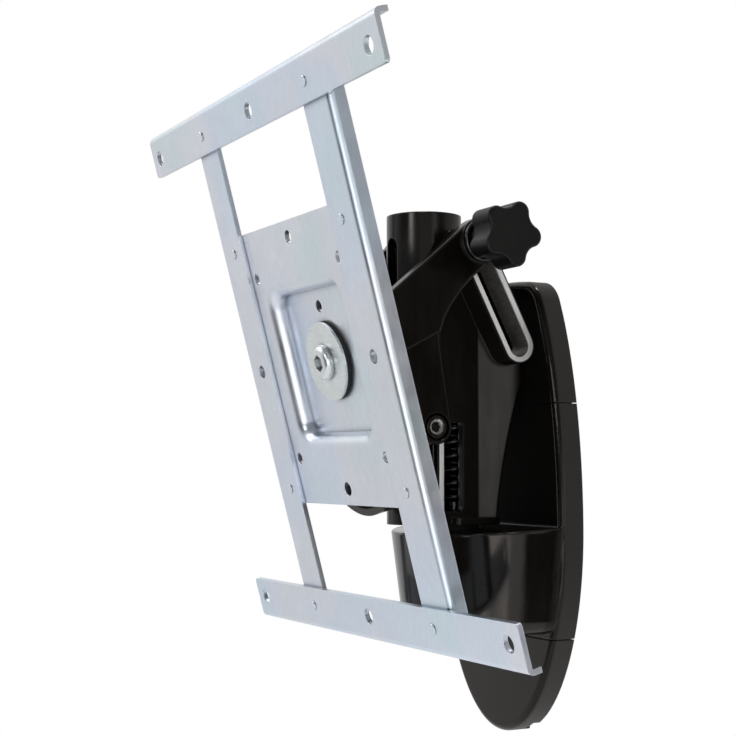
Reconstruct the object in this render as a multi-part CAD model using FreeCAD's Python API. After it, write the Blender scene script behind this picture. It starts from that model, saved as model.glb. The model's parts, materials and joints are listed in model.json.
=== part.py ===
"""Tilting and swivelling wall arm for a flat display.

Frame: the wall is the plane Y = 0, the room lies towards -Y, X runs to the right and Z up.
The origin lies midway between the two wall screws. All sizes are millimetres.
The display frame is drawn upright and then leaned forward by TILT about the display centre.
"""
import FreeCAD
import Part
import math
import os
from FreeCAD import Vector

# Wall base
BASE_HALF_WIDTH = 46.0
BASE_LOWER = 83.0
BASE_UPPER = 122.0
BASE_TOP = 98.5
CROWN_RADIUS = 180.0
TOP_CORNER = 13.0
BASE_DEPTH = 10.0
BASE_EDGE = 2.5
RIM = 3.0
FLOOR = 1.2
PLATE_THICK = 3.0
PLATE_GAP = 0.2
COVER_WALL = 2.5
SEAM_HIGH = 48.0
SEAM_LOW = -43.0
SEAM_GAP = 0.35
WALL_HOLE_Z = 70.0
WALL_HOLE_R = 3.25
WALL_HEAD_R = 6.5
NOTCH_X = 11.5
NOTCH_WIDTH = 7.0
NOTCH_DEPTH = 3.0

# Pod that carries the swivel
POD_REACH = 43.0
POD_LOW_HALF = 40.0
POD_LOW_REACH = 38.0
POD_BOTTOM = -41.0
POD_LEDGE_BACK = 0.5
POD_LEDGE_TIP = -3.0
POD_WALL = 3.0
POD_EDGE = 6.0
LEDGE_EDGE = 1.0
HOUSING_SCREW_R = 2.0
HOUSING_SCREW_HEAD_R = 4.0
HOUSING_SCREW_LENGTH = 12.0
HOUSING_BOSS_R = 5.0
HOUSING_BOSS_LENGTH = 13.0
HOUSING_SCREWS = ((36.0, -9.0), (31.0, -35.0))

# Swivel
SWIVEL_Y = -30.5
SWIVEL_R = 5.0
SWIVEL_CLEAR = 0.05
BUSH_WALL = 1.5
BUSH_BOTTOM = -29.0
SWIVEL_BOSS_R = 10.0
THRUST_SEAT = -2.2
THRUST_R = 10.0
THRUST_MARGIN = 0.5
PIN_HEAD_HEIGHT = 2.0
SWIVEL_WASHER_R = 8.5
SWIVEL_NUT_WIDTH = 13.0
NUT_HEIGHT = 5.0
WASHER_THICK = 1.5

# Column and wings
COLUMN_Y = -44.0
COLUMN_R = 15.0
COLUMN_WALL = 3.5
COLUMN_TOP = 123.5
FOOT_BOTTOM = 0.6
FOOT_THICK = 2.8
FOOT_LIP = 1.2
FOOT_LIP_FRONT = -40.0
WING_BACK_LOW = -20.1
WING_BACK_HIGH = -9.2
WING_BACK_HIGH_Z = 58.0
WING_HOLLOW = 1.5
FLARE_Y = -28.0
FLARE_ANGLE = 12.0
RING_BOTTOM = 96.0
FRONT_SLOT_WIDTH = 8.0
FRONT_SLOT_LOW = 68.0
FRONT_SLOT_HIGH = 110.0
WINDOW_FRONT = -43.7
WINDOW_BACK = -35.1
WINDOW_LOW = 6.0
WINDOW_HIGH = 41.0
WINDOW_CORNER = 2.0

# Tilt mechanism: lower cross bolt in a vertical track, clamp bolt in an inclined slot
TILT = 15.0
PIVOT_Y = -50.0
PIVOT_Z = 38.7
CLAMP_Y = -36.9
CLAMP_Z = 110.3
TRAVEL = 28.8
BOLT_R = 3.0
BOLT_CLEAR = 0.06
TRACK_WIDTH = 7.0
TRACK_END_CLEAR = 0.7
SLOT_R = 4.5
SLOT_WALL = 2.5
SLOT_SPARE = 5.4
BOSS_HEIGHT = 11.4
LINER_THICK = 0.6
SLIDE_CLEAR = 0.4

# Lift carriage and counterbalance spring
CARRIAGE_CLEAR = 0.3
CARRIAGE_HEIGHT = 13.0
CARRIAGE_BACK = -44.5
STRAP_HALF = 7.0
STRAP_THICK = 3.0
CAP_THICK = 4.0
SPRING_R = 7.0
SPRING_WIRE = 1.0
SPRING_TOP = 65.0
SPRING_TURNS = 10.5
SPIGOT_R = 5.2
SPIGOT_HEIGHT = 4.0
STRIP_THICK = 0.8
STRIP_WIDTH = 2.0

# Tilt bracket
DISPLAY_Y = -91.0
DISPLAY_Z = 63.0
CHEEK_GAP = 0.6
CHEEK_THICK = 5.4
PIVOT_BOSS_R = 6.8
PIVOT_HEAD_R = 4.6
PIVOT_HEAD_HEIGHT = 3.0
PIVOT_HEAD_EDGE = 0.6
PIVOT_SOCKET = 4.0
PIVOT_SOCKET_DEPTH = 1.6
PIVOT_DISH_R = 3.2
PIVOT_DISH_DEPTH = 0.7
PIVOT_RECESS_DEPTH = 3.4
PIVOT_RECESS_CLEAR = 0.7
ARM_THICK = 5.0
CLAMP_BOSS_R = 9.0
CLAMP_BOSS_RISE = 1.0
CAST_EDGE = 1.0
BOSS_TOP_TURN = -41.0
BOSS_REAR_TURN = 134.0
ARM_REAR = ((-3.5, -14.3), (-8.9, -20.0))
ARM_BEND = ((-13.3, -26.0), (-16.0, -30.7), (-17.8, -36.1))
ARM_STEP = (-22.0, -18.0)
ARM_TOP_V = 17.0
ARM_LOW_V = -4.0
CHEEK_LOW_V = -32.0
CHEEK_CHIN = -2.0
CHEEK_NECK = (1.8, 30.0)
WEB_THICK = 5.0
WEB_HALF = 36.0
WEB_LOW = -62.4
WEB_TOP = 30.0
WEB_CORNER = 12.0
LIP_WALL = 3.0
LIP_FRONT = 5.6
LIP_TOP = -44.0

# Clamp and knob
CLAMP_WASHER_R = 8.5
CLAMP_WASHER_THICK = 2.0
CLAMP_HEAD_R = 5.5
CLAMP_HEAD_HEIGHT = 2.6
CLAMP_HEAD_EDGE = 1.8
KNOB_HUB_R = 6.5
KNOB_HUB_LENGTH = 6.5
KNOB_R = 12.8
KNOB_LOBE_R = 4.0
KNOB_VALLEY_R = 9.6
KNOB_LENGTH = 13.0
KNOB_EDGE = 1.2
KNOB_LOBES = 5
KNOB_FIRST_LOBE = 95.0
INSERT_WALL = 1.8
KNOB_GAP = 0.3

# Display frame of 2 mm sheet, set out from its hole patterns
SHEET = 2.0
VESA_75 = 37.5
VESA_75_R = 2.3
VESA_100 = 50.0
VESA_100_R = 2.75
VESA_200 = 100.0
VESA_200_R = 3.2
PLATE_EDGE_X = 7.0
PLATE_EDGE_V = 6.5
PLATE_CORNER = 3.0
PAN_HALF_X = 29.0
PAN_HALF_V = 28.4
PAN_DEPTH = 6.0
PAN_CORNER = 6.0
PAN_BEND = 5.0
PAN_FOOT = 1.6
STOP_HOLE_V = 21.5
STOP_HOLE_R = 2.4
BAR_IN = 8.0
BAR_OUT = 12.0
BAR_FLANGE = 7.0
BAR_END_CLEAR = 0.9
BEND = 2.6
CROSS_END = 8.0
CROSS_IN = 7.6
CROSS_OUT = 10.4
CROSS_LIP = 5.5
CROSS_CORNER = 1.5
RIVET_R = 1.6
RIVET_HEAD_R = 2.1
RIVET_HEAD_HEIGHT = 0.5
RIVET_EDGE = 0.3

# Display swivel bolt and its washers
HUB_BOLT_R = 4.0
HUB_CLEAR = 0.06
HUB_WASHER_R = 15.6
HUB_WASHER_THICK = 1.0
DISC_THICK = 1.7
REAR_DISC_THICK = 2.5
HUB_HEAD_R = 7.0
HUB_HEAD_HEIGHT = 3.2
HUB_HEAD_EDGE = 2.4
HUB_SOCKET = 6.0
HUB_SOCKET_DEPTH = 2.2
HUB_NUT_WIDTH = 13.0
HUB_NUT_HEIGHT = 4.0
SPRING_WASHER_R = 8.0

# Places worked out from the sizes above
PLATE_HALF_X = VESA_100 + PLATE_EDGE_X
PLATE_HALF_V = VESA_100 + PLATE_EDGE_V
BAR_INNER = VESA_100 - BAR_IN
BAR_OUTER = VESA_100 + BAR_OUT
CROSS_HALF_X = VESA_200 + CROSS_END
CROSS_LOW = VESA_200 - CROSS_IN
CROSS_HIGH = VESA_200 + CROSS_OUT
BAR_HALF_V = CROSS_HIGH - SHEET - BAR_END_CLEAR
RIVET_X = VESA_100
WEB_BACK = PAN_DEPTH + SHEET + REAR_DISC_THICK
FLOOR_BACK = -PLATE_THICK - PLATE_GAP
FOOT_TOP = FOOT_BOTTOM + FOOT_THICK
CHEEK_INNER = COLUMN_R + CHEEK_GAP
CHEEK_OUTER = CHEEK_INNER + CHEEK_THICK
PIVOT_SEAT = CHEEK_OUTER - PIVOT_RECESS_DEPTH
BOSS_END = COLUMN_R + BOSS_HEIGHT
ARM_INNER = BOSS_END + LINER_THICK + SLIDE_CLEAR
ARM_OUTER = ARM_INNER + ARM_THICK
CLAMP_FACE = ARM_OUTER + CLAMP_BOSS_RISE
KNOB_START = CLAMP_FACE + CLAMP_WASHER_THICK + KNOB_GAP
KNOB_BODY = KNOB_START + KNOB_HUB_LENGTH
KNOB_POCKET_END = KNOB_BODY + KNOB_LENGTH / 2
WASHER_TOP = -PAN_DEPTH + DISC_THICK + HUB_WASHER_THICK

CENTRE = Vector(0, DISPLAY_Y, DISPLAY_Z)
X_AXIS = Vector(1, 0, 0)
FAR = 400.0
TINY = 1e-6
NEAR = 1e-3
PIVOT = (PIVOT_Y, PIVOT_Z)
CLAMP = (CLAMP_Y, CLAMP_Z)
SIDES = (1, -1)


def box(x0, x1, y0, y1, z0, z1):
    """Box between two corners."""
    return Part.makeBox(x1 - x0, y1 - y0, z1 - z0, Vector(x0, y0, z0))


def rod(radius, start, end):
    """Round bar between two points."""
    axis = end.sub(start)
    return Part.makeCylinder(radius, axis.Length, start, axis)


def rod_x(radius, x0, x1, y, z):
    """Round bar along X."""
    return rod(radius, Vector(x0, y, z), Vector(x1, y, z))


def rod_z(radius, z0, z1, y, x=0.0):
    """Round bar along Z."""
    return rod(radius, Vector(x, y, z0), Vector(x, y, z1))


def join(shapes):
    """One solid from several that meet."""
    return shapes[0].multiFuse(shapes[1:]).removeSplitter()


def plate_x(points, x0, x1):
    """Flat plate whose outline is given as (y, z) points, between two X planes."""
    corners = [Vector(x0, y, z) for y, z in points]
    face = Part.Face(Part.makePolygon(corners + corners[:1]))
    return face.extrude(Vector(x1 - x0, 0, 0))


def obround(start, end, radius, sweep):
    """Slot-shaped prism from start to end, swept along a vector."""
    along = end.sub(start).normalize()
    side = sweep.cross(along).normalize().multiply(radius)
    tip = Vector(along).multiply(radius)
    edges = [
        Part.LineSegment(start.add(side), end.add(side)).toShape(),
        Part.Arc(end.add(side), end.add(tip), end.sub(side)).toShape(),
        Part.LineSegment(end.sub(side), start.sub(side)).toShape(),
        Part.Arc(start.sub(side), start.sub(tip), start.add(side)).toShape(),
    ]
    return Part.Face(Part.Wire(edges)).extrude(sweep)


def hexagon(width, start, sweep):
    """Hexagonal prism of the given width across flats."""
    axis = Vector(sweep).normalize()
    first = axis.cross(X_AXIS) if abs(axis.x) < 0.9 else axis.cross(Vector(0, 1, 0))
    first = first.normalize().multiply(width / math.sqrt(3))
    spin = FreeCAD.Rotation(axis, 60)
    corners = [first]
    for _ in range(5):
        corners.append(spin.multVec(corners[-1]))
    corners = [start.add(corner) for corner in corners]
    return Part.Face(Part.makePolygon(corners + corners[:1])).extrude(sweep)


def rounded(shape, radius, picks):
    """Fillet every edge that passes through one of the picked points."""
    edges = []
    for edge in shape.Edges:
        if any(edge.distToShape(Part.Vertex(pick))[0] < NEAR for pick in picks):
            edges.append(edge)
    return shape.makeFillet(radius, edges)


def soft_corners(shape, radius, axis):
    """Fillet the straight edges that run along an axis."""
    edges = []
    for edge in shape.Edges:
        run = edge.Vertexes[-1].Point.sub(edge.Vertexes[0].Point)
        if isinstance(edge.Curve, Part.Line) and run.cross(axis).Length < TINY:
            edges.append(edge)
    return shape.makeFillet(radius, edges)


def soft_face(shape, radius, x):
    """Fillet the edges that lie in one X plane."""
    flat = [edge for edge in shape.Edges if edge.BoundBox.XLength < TINY]
    return shape.makeFillet(radius, [edge for edge in flat if abs(edge.BoundBox.XMin - x) < TINY])


def mirrored(shape):
    """Copy on the other side of the middle plane."""
    return shape.mirror(Vector(0, 0, 0), X_AXIS)


def leaned(shape):
    """Lean a piece of the upright display frame forward to its rest angle."""
    copy = shape.copy()
    copy.rotate(CENTRE, X_AXIS, TILT)
    return copy


def sheet_box(x0, x1, v0, v1, w0, w1):
    """Box of the upright display frame: v is up from its centre, w is forward of its face."""
    return box(x0, x1, DISPLAY_Y - w1, DISPLAY_Y - w0, DISPLAY_Z + v0, DISPLAY_Z + v1)


def sheet_rod(radius, x, v, w0, w1):
    """Round bar through the upright display frame from depth w0 to w1."""
    start = Vector(x, DISPLAY_Y - w0, DISPLAY_Z + v)
    return rod(radius, start, Vector(x, DISPLAY_Y - w1, DISPLAY_Z + v))


# Tilt geometry worked out from the two bolts
def swung(point, slide):
    """Where a (y, z) point of the tilt bracket goes when the carriage has slid by slide."""
    angle = math.radians(TILT) * slide / TRAVEL
    y = point[0] - PIVOT_Y
    z = point[1] - PIVOT_Z
    return (
        PIVOT_Y + y * math.cos(angle) - z * math.sin(angle),
        PIVOT_Z + y * math.sin(angle) + z * math.cos(angle) + slide,
    )


def slot_ends():
    """Ends of the inclined slot's centre line: the rest place, and past the lowest place."""
    low = swung(CLAMP, -TRAVEL)
    run = math.hypot(low[0] - CLAMP_Y, low[1] - CLAMP_Z)
    stretch = (run + SLOT_SPARE) / run
    end = (CLAMP_Y + (low[0] - CLAMP_Y) * stretch, CLAMP_Z + (low[1] - CLAMP_Z) * stretch)
    return CLAMP, end


def slot_prism(radius, x0, x1):
    """Prism of the inclined slot between two X planes."""
    (y0, z0), (y1, z1) = slot_ends()
    return obround(Vector(x0, y0, z0), Vector(x0, y1, z1), radius, Vector(x1 - x0, 0, 0))


# Wall base
def base_blank(inset, front, back):
    """Solid of the base outline, drawn in from its edge, between two depths."""
    sweep = Vector(0, back - front, 0)
    middle = Vector(0, front, 0)

    def oval(height):
        curve = Part.Ellipse(
            Vector(0, front, height - inset), Vector(BASE_HALF_WIDTH - inset, front, 0), middle
        )
        return Part.Face(Part.Wire(curve.toShape())).extrude(sweep)

    crown_centre = Vector(0, front, BASE_TOP - CROWN_RADIUS)
    crown = Part.makeCylinder(CROWN_RADIUS - inset, sweep.Length, crown_centre, sweep)
    lower = oval(BASE_LOWER).common(box(-FAR, FAR, front, back, -FAR, 0))
    upper = oval(BASE_UPPER).common(crown).common(box(-FAR, FAR, front, back, 0, FAR))
    blank = lower.fuse(upper).removeSplitter()
    upright = [edge for edge in blank.Edges if edge.BoundBox.XLength < TINY]
    corners = [edge for edge in upright if edge.BoundBox.ZMin > BASE_TOP / 2]
    return blank.makeFillet(TOP_CORNER - inset, corners)


def base_outside():
    """Outer form of the three base shells with its front edge rounded."""
    blank = base_blank(0, -BASE_DEPTH, 0)
    front = [edge for edge in blank.Edges if edge.BoundBox.YMax < -BASE_DEPTH + TINY]
    return blank.makeFillet(BASE_EDGE, front)


def base_dish():
    """Outer form with a shallow dish in front, and room for the wall plate behind."""
    dish = base_blank(RIM, -BASE_DEPTH - 1, FLOOR_BACK - FLOOR)
    dish = dish.common(box(-FAR, FAR, -FAR, FAR, POD_LEDGE_BACK, FAR))
    plate_room = base_blank(RIM, FLOOR_BACK, 1)
    return base_outside().cut(dish).cut(plate_room)


def wall_plate():
    plate = base_blank(RIM + PLATE_GAP, -PLATE_THICK, 0)
    for z in (WALL_HOLE_Z, -WALL_HOLE_Z):
        plate = plate.cut(rod(WALL_HOLE_R, Vector(0, 1, z), Vector(0, -PLATE_THICK - 1, z)))
    for side in SIDES:
        for x, z in HOUSING_SCREWS:
            plate = plate.cut(countersunk_screw(side * x, z, HOUSING_SCREW_LENGTH))
    return plate


def countersunk_screw(x, z, length):
    """Countersunk screw driven from the wall side."""
    cone_height = HOUSING_SCREW_HEAD_R - HOUSING_SCREW_R
    head = Part.makeCone(
        HOUSING_SCREW_HEAD_R, HOUSING_SCREW_R, cone_height, Vector(x, 0, z), Vector(0, -1, 0)
    )
    shank = rod(HOUSING_SCREW_R, Vector(x, -cone_height, z), Vector(x, -length, z))
    return head.fuse(shank).removeSplitter()


def housing_screws():
    screws = []
    for side in SIDES:
        for x, z in HOUSING_SCREWS:
            screws.append(countersunk_screw(side * x, z, HOUSING_SCREW_LENGTH))
    return Part.makeCompound(screws)


def top_cover():
    cover = base_dish().common(box(-FAR, FAR, -FAR, FAR, SEAM_HIGH + SEAM_GAP / 2, FAR))
    return cover.cut(rod(WALL_HEAD_R, Vector(0, 0, WALL_HOLE_Z), Vector(0, -BASE_DEPTH, WALL_HOLE_Z)))


def bottom_cover():
    below = box(-FAR, FAR, -FAR, FAR, -FAR, SEAM_LOW - SEAM_GAP / 2)
    inside = base_blank(COVER_WALL, -BASE_DEPTH + COVER_WALL, 1)
    notch = box(
        NOTCH_X - NOTCH_WIDTH / 2, NOTCH_X + NOTCH_WIDTH / 2, -NOTCH_DEPTH, 1, -BASE_LOWER, -BASE_LOWER / 2
    )
    return base_outside().common(below).cut(inside).cut(notch)


def pod_form(inset, top_drop):
    """Rounded pod, drawn in by inset, with its sloping ledge lowered by top_drop."""
    middle = Vector(0, -BASE_DEPTH, 0)

    def ring(half, reach, z):
        """Oval that starts at its right-hand end, whichever of its axes is the longer."""
        centre = middle.add(Vector(0, 0, z))
        across = Vector(half - inset, 0, 0)
        forward = Vector(0, inset - reach, 0)
        if half > reach:
            curve = Part.Ellipse(centre.add(across), centre.add(forward), centre)
            return Part.Wire(curve.toShape())
        curve = Part.Ellipse(centre.add(forward), centre.sub(across), centre)
        return Part.Wire(curve.toShape(-math.pi / 2, 1.5 * math.pi))

    low = POD_BOTTOM + inset
    top = ring(BASE_HALF_WIDTH, POD_REACH, POD_LEDGE_BACK)
    bottom = ring(POD_LOW_HALF, POD_LOW_REACH, low)
    form = Part.makeLoft([bottom, top], True, True)
    tip = -BASE_DEPTH - POD_REACH
    keep = [
        (-BASE_DEPTH + RIM, POD_LEDGE_BACK - top_drop),
        (tip, POD_LEDGE_TIP - top_drop),
        (tip, low),
        (-BASE_DEPTH + RIM, low),
    ]
    return form.common(plate_x(keep, -FAR, FAR))


def pod_outside():
    form = pod_form(0, 0)
    bottom = [e for e in form.Edges if e.BoundBox.ZMax < POD_BOTTOM + TINY and e.BoundBox.YLength > RIM]
    bottom = [e for e in bottom if e.BoundBox.YMin < -BASE_DEPTH - RIM]
    form = form.makeFillet(POD_EDGE, bottom)
    ledge = [e for e in form.Edges if e.BoundBox.ZMin > POD_LEDGE_TIP - NEAR]
    ledge = [e for e in ledge if e.BoundBox.YMin < -BASE_DEPTH - RIM]
    return form.makeFillet(LEDGE_EDGE, ledge)


def pod_housing():
    middle = box(-FAR, FAR, -FAR, FAR, SEAM_LOW + SEAM_GAP / 2, SEAM_HIGH - SEAM_GAP / 2)
    outside = pod_outside()
    back_room = base_blank(RIM, -BASE_DEPTH - 1, 1).common(
        box(-FAR, FAR, -FAR, FAR, POD_BOTTOM + POD_WALL, POD_LEDGE_TIP - POD_WALL)
    )
    housing = base_dish().common(middle).fuse(outside)
    housing = housing.cut(pod_form(POD_WALL, POD_WALL)).cut(back_room)
    bosses = [rod_z(SWIVEL_BOSS_R, BUSH_BOTTOM, THRUST_SEAT, SWIVEL_Y)]
    for side in SIDES:
        for x, z in HOUSING_SCREWS:
            start = Vector(side * x, FLOOR_BACK, z)
            bosses.append(rod(HOUSING_BOSS_R, start, start.sub(Vector(0, HOUSING_BOSS_LENGTH, 0))))
    inner = base_blank(RIM - 1, -BASE_DEPTH, 0).fuse(outside)
    housing = housing.multiFuse([boss.common(inner) for boss in bosses]).removeSplitter()
    bush_r = SWIVEL_R + SWIVEL_CLEAR + BUSH_WALL
    housing = housing.cut(rod_z(bush_r, BUSH_BOTTOM - 1, POD_LEDGE_BACK, SWIVEL_Y))
    housing = housing.cut(rod_z(THRUST_R + THRUST_MARGIN, THRUST_SEAT, POD_LEDGE_BACK + 1, SWIVEL_Y))
    for side in SIDES:
        for x, z in HOUSING_SCREWS:
            hole = rod(HOUSING_SCREW_R, Vector(side * x, 0, z), Vector(side * x, -HOUSING_SCREW_LENGTH, z))
            housing = housing.cut(hole)
    return housing


# Swivel
def swivel_bush():
    inner = SWIVEL_R + SWIVEL_CLEAR
    bush = rod_z(inner + BUSH_WALL, BUSH_BOTTOM, THRUST_SEAT, SWIVEL_Y)
    return bush.cut(rod_z(inner, BUSH_BOTTOM, THRUST_SEAT, SWIVEL_Y))


def thrust_washer():
    top = FOOT_BOTTOM - SWIVEL_CLEAR
    washer = rod_z(THRUST_R, THRUST_SEAT, top, SWIVEL_Y)
    return washer.cut(rod_z(SWIVEL_R + SWIVEL_CLEAR, THRUST_SEAT, top, SWIVEL_Y))


def swivel_pin():
    """Pin fixed in the column foot; its head seats and centres the spring."""
    seat = FOOT_TOP + PIN_HEAD_HEIGHT
    end = BUSH_BOTTOM - SWIVEL_CLEAR - WASHER_THICK - NUT_HEIGHT
    return join([
        rod_z(SWIVEL_R, end, FOOT_TOP, SWIVEL_Y),
        rod_z(SPRING_R + SPRING_WIRE, FOOT_TOP, seat, SWIVEL_Y),
        rod_z(SPIGOT_R, seat, seat + SPIGOT_HEIGHT, SWIVEL_Y),
    ])


def swivel_washer():
    top = BUSH_BOTTOM - SWIVEL_CLEAR
    washer = rod_z(SWIVEL_WASHER_R, top - WASHER_THICK, top, SWIVEL_Y)
    return washer.cut(rod_z(SWIVEL_R, top - WASHER_THICK, top, SWIVEL_Y))


def swivel_nut():
    top = BUSH_BOTTOM - SWIVEL_CLEAR - WASHER_THICK
    nut = hexagon(SWIVEL_NUT_WIDTH, Vector(0, SWIVEL_Y, top), Vector(0, 0, -NUT_HEIGHT))
    return nut.cut(rod_z(SWIVEL_R, top - NUT_HEIGHT, top, SWIVEL_Y))


# Column and wings
def channel(radius, z0, z1, back):
    """Upright channel: round front about the column axis and flat sides running back."""
    front = rod_z(radius, z0, z1, COLUMN_Y)
    return front.fuse(box(-radius, radius, COLUMN_Y, back, z0, z1))


def wing_half(y):
    """Half the width over the wings at a depth; they flare out behind the spring."""
    return COLUMN_R + max(0.0, y - FLARE_Y) * math.tan(math.radians(FLARE_ANGLE))


def flared_wings():
    """Plan of the flared rear of the wings, as a prism over their whole height."""
    corners = [
        Vector(-COLUMN_R, FLARE_Y, FOOT_BOTTOM),
        Vector(COLUMN_R, FLARE_Y, FOOT_BOTTOM),
        Vector(wing_half(0.0), 0, FOOT_BOTTOM),
        Vector(-wing_half(0.0), 0, FOOT_BOTTOM),
    ]
    plan = Part.Face(Part.makePolygon(corners + corners[:1]))
    return plan.extrude(Vector(0, 0, COLUMN_TOP - FOOT_BOTTOM))


def wing_rear():
    """(y, z) points up the rear edge of the wings: foot, hollow, top of the hollow, slope, slot boss."""
    top, end = slot_ends()
    reach = SLOT_R + SLOT_WALL
    run = math.hypot(end[0] - top[0], end[1] - top[1])
    rear = ((top[1] - end[1]) / run * reach, (end[0] - top[0]) / run * reach)
    foot = (WING_BACK_LOW, FOOT_BOTTOM)
    high = (WING_BACK_HIGH, WING_BACK_HIGH_Z)
    hollow = ((foot[0] + high[0]) / 2 - WING_HOLLOW, (foot[1] + high[1]) / 2)
    boss = (end[0] + rear[0], end[1] + rear[1])
    slope = ((high[0] + boss[0]) / 2, (high[1] + boss[1]) / 2)
    return [foot, hollow, high, slope, boss, (top[0] + rear[0], top[1] + rear[1])]


def wing_outline():
    """Side view of the column foot and wings, as a prism across the whole width."""
    foot, hollow, high, _, boss, boss_top = [Vector(-FAR, *point) for point in wing_rear()]
    front = COLUMN_Y - COLUMN_R - 1
    crest = Vector(-FAR, COLUMN_Y, CLAMP_Z + SLOT_R + SLOT_WALL)
    front_low = Vector(-FAR, front, FOOT_BOTTOM)
    front_high = Vector(-FAR, front, crest.z)
    edges = [Part.Arc(foot, hollow, high).toShape()]
    corners = [high, boss, boss_top, crest, front_high, front_low, foot]
    for start, end in zip(corners, corners[1:]):
        edges.append(Part.LineSegment(start, end).toShape())
    return Part.Face(Part.Wire(edges)).extrude(Vector(2 * FAR, 0, 0))


def track_prism(half_width):
    """Vertical track of the cross bolt, through both walls."""
    ends = TRACK_END_CLEAR + BOLT_R - half_width
    low = Vector(-FAR, PIVOT_Y, PIVOT_Z - TRAVEL - ends)
    high = Vector(-FAR, PIVOT_Y, PIVOT_Z + ends)
    return obround(low, high, half_width, Vector(2 * FAR, 0, 0))


def yoke():
    bore = COLUMN_R - COLUMN_WALL
    body = channel(COLUMN_R, FOOT_BOTTOM, COLUMN_TOP, 0).fuse(flared_wings())
    body = body.common(wing_outline()).removeSplitter()
    edge_points = [Vector(side * wing_half(y), y, z) for side in SIDES for y, z in wing_rear()[1:4]]
    body = rounded(body, CAST_EDGE, edge_points)
    lip_half = wing_half(WING_BACK_LOW) + FOOT_LIP
    lip = box(-lip_half, lip_half, FOOT_LIP_FRONT, WING_BACK_LOW + FOOT_LIP, FOOT_BOTTOM, FOOT_TOP)
    lip = soft_corners(lip, FOOT_LIP * 2, Vector(0, 0, 1))
    body = join([body, rod_z(COLUMN_R, FOOT_BOTTOM, COLUMN_TOP, COLUMN_Y), lip])
    bosses = [slot_prism(SLOT_R + SLOT_WALL, side * COLUMN_R, side * BOSS_END) for side in SIDES]
    body = join([body] + bosses)
    body = body.cut(channel(bore, FOOT_TOP, RING_BOTTOM, 1))
    body = body.cut(rod_z(bore, FOOT_TOP, COLUMN_TOP + 1, COLUMN_Y))
    body = body.cut(slot_prism(SLOT_R, -FAR, FAR))
    body = body.cut(track_prism(TRACK_WIDTH / 2))
    for side in SIDES:
        window = box(
            min(side * bore / 2, side * FAR), max(side * bore / 2, side * FAR),
            WINDOW_FRONT, WINDOW_BACK, WINDOW_LOW, WINDOW_HIGH,
        )
        body = body.cut(soft_corners(window, WINDOW_CORNER, X_AXIS)).cut(guide_strip(side))
    front_slot = obround(
        Vector(0, COLUMN_Y - bore / 2, FRONT_SLOT_LOW), Vector(0, COLUMN_Y - bore / 2, FRONT_SLOT_HIGH),
        FRONT_SLOT_WIDTH / 2, Vector(0, -COLUMN_R, 0),
    )
    return body.cut(front_slot).cut(rod_z(SWIVEL_R, FOOT_BOTTOM - 1, FOOT_TOP + 1, SWIVEL_Y))


def slot_liner(side):
    """Bare metal rim on the end of a slot boss, where the arm is clamped."""
    inner = side * BOSS_END
    outer = side * (BOSS_END + LINER_THICK)
    return slot_prism(SLOT_R + SLOT_WALL, inner, outer).cut(slot_prism(SLOT_R, inner, outer))


def guide_strip(side):
    """Bare wear strip on the post between the track and the spring window."""
    strip = channel(COLUMN_R, WINDOW_LOW, WINDOW_HIGH, 0)
    inner = channel(COLUMN_R - STRIP_THICK, WINDOW_LOW, WINDOW_HIGH, 0)
    front = WINDOW_FRONT - STRIP_WIDTH
    reach = box(min(0, side * FAR), max(0, side * FAR), front, WINDOW_FRONT, -FAR, FAR)
    return strip.cut(inner).common(reach)


# Lift carriage and spring
def lift_carriage():
    bore = COLUMN_R - COLUMN_WALL - CARRIAGE_CLEAR
    low = PIVOT_Z - CARRIAGE_HEIGHT / 2
    high = PIVOT_Z + CARRIAGE_HEIGHT / 2
    block = rod_z(bore, low, high, COLUMN_Y).common(box(-FAR, FAR, -FAR, CARRIAGE_BACK, -FAR, FAR))
    strap = box(
        -STRAP_HALF, STRAP_HALF, CARRIAGE_BACK - STRAP_THICK, CARRIAGE_BACK, low, SPRING_TOP + CAP_THICK
    )
    cap_end = SPRING_R + SPRING_WIRE
    cap_front = Vector(0, CARRIAGE_BACK, SPRING_TOP)
    cap_back = Vector(0, SWIVEL_Y, SPRING_TOP)
    cap = obround(cap_front, cap_back, cap_end, Vector(0, 0, CAP_THICK))
    cap = cap.common(box(-FAR, FAR, CARRIAGE_BACK - STRAP_THICK, FAR, -FAR, FAR))
    spigot = rod_z(SPIGOT_R, SPRING_TOP - SPIGOT_HEIGHT, SPRING_TOP, SWIVEL_Y)
    carriage = join([block, strap, cap, spigot])
    return carriage.cut(rod_x(BOLT_R, -FAR, FAR, PIVOT_Y, PIVOT_Z))


def lift_spring():
    bottom = FOOT_TOP + PIN_HEAD_HEIGHT + SPRING_WIRE
    height = SPRING_TOP - SPRING_WIRE - bottom
    helix = Part.makeHelix(height / SPRING_TURNS, height, SPRING_R)
    start = helix.Edges[0].valueAt(helix.Edges[0].FirstParameter)
    run = helix.Edges[0].tangentAt(helix.Edges[0].FirstParameter)
    section = Part.Wire(Part.makeCircle(SPRING_WIRE, start, run))
    spring = Part.Wire(helix.Edges).makePipeShell([section], True, True)
    spring.translate(Vector(0, SWIVEL_Y, bottom))
    return spring


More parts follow.
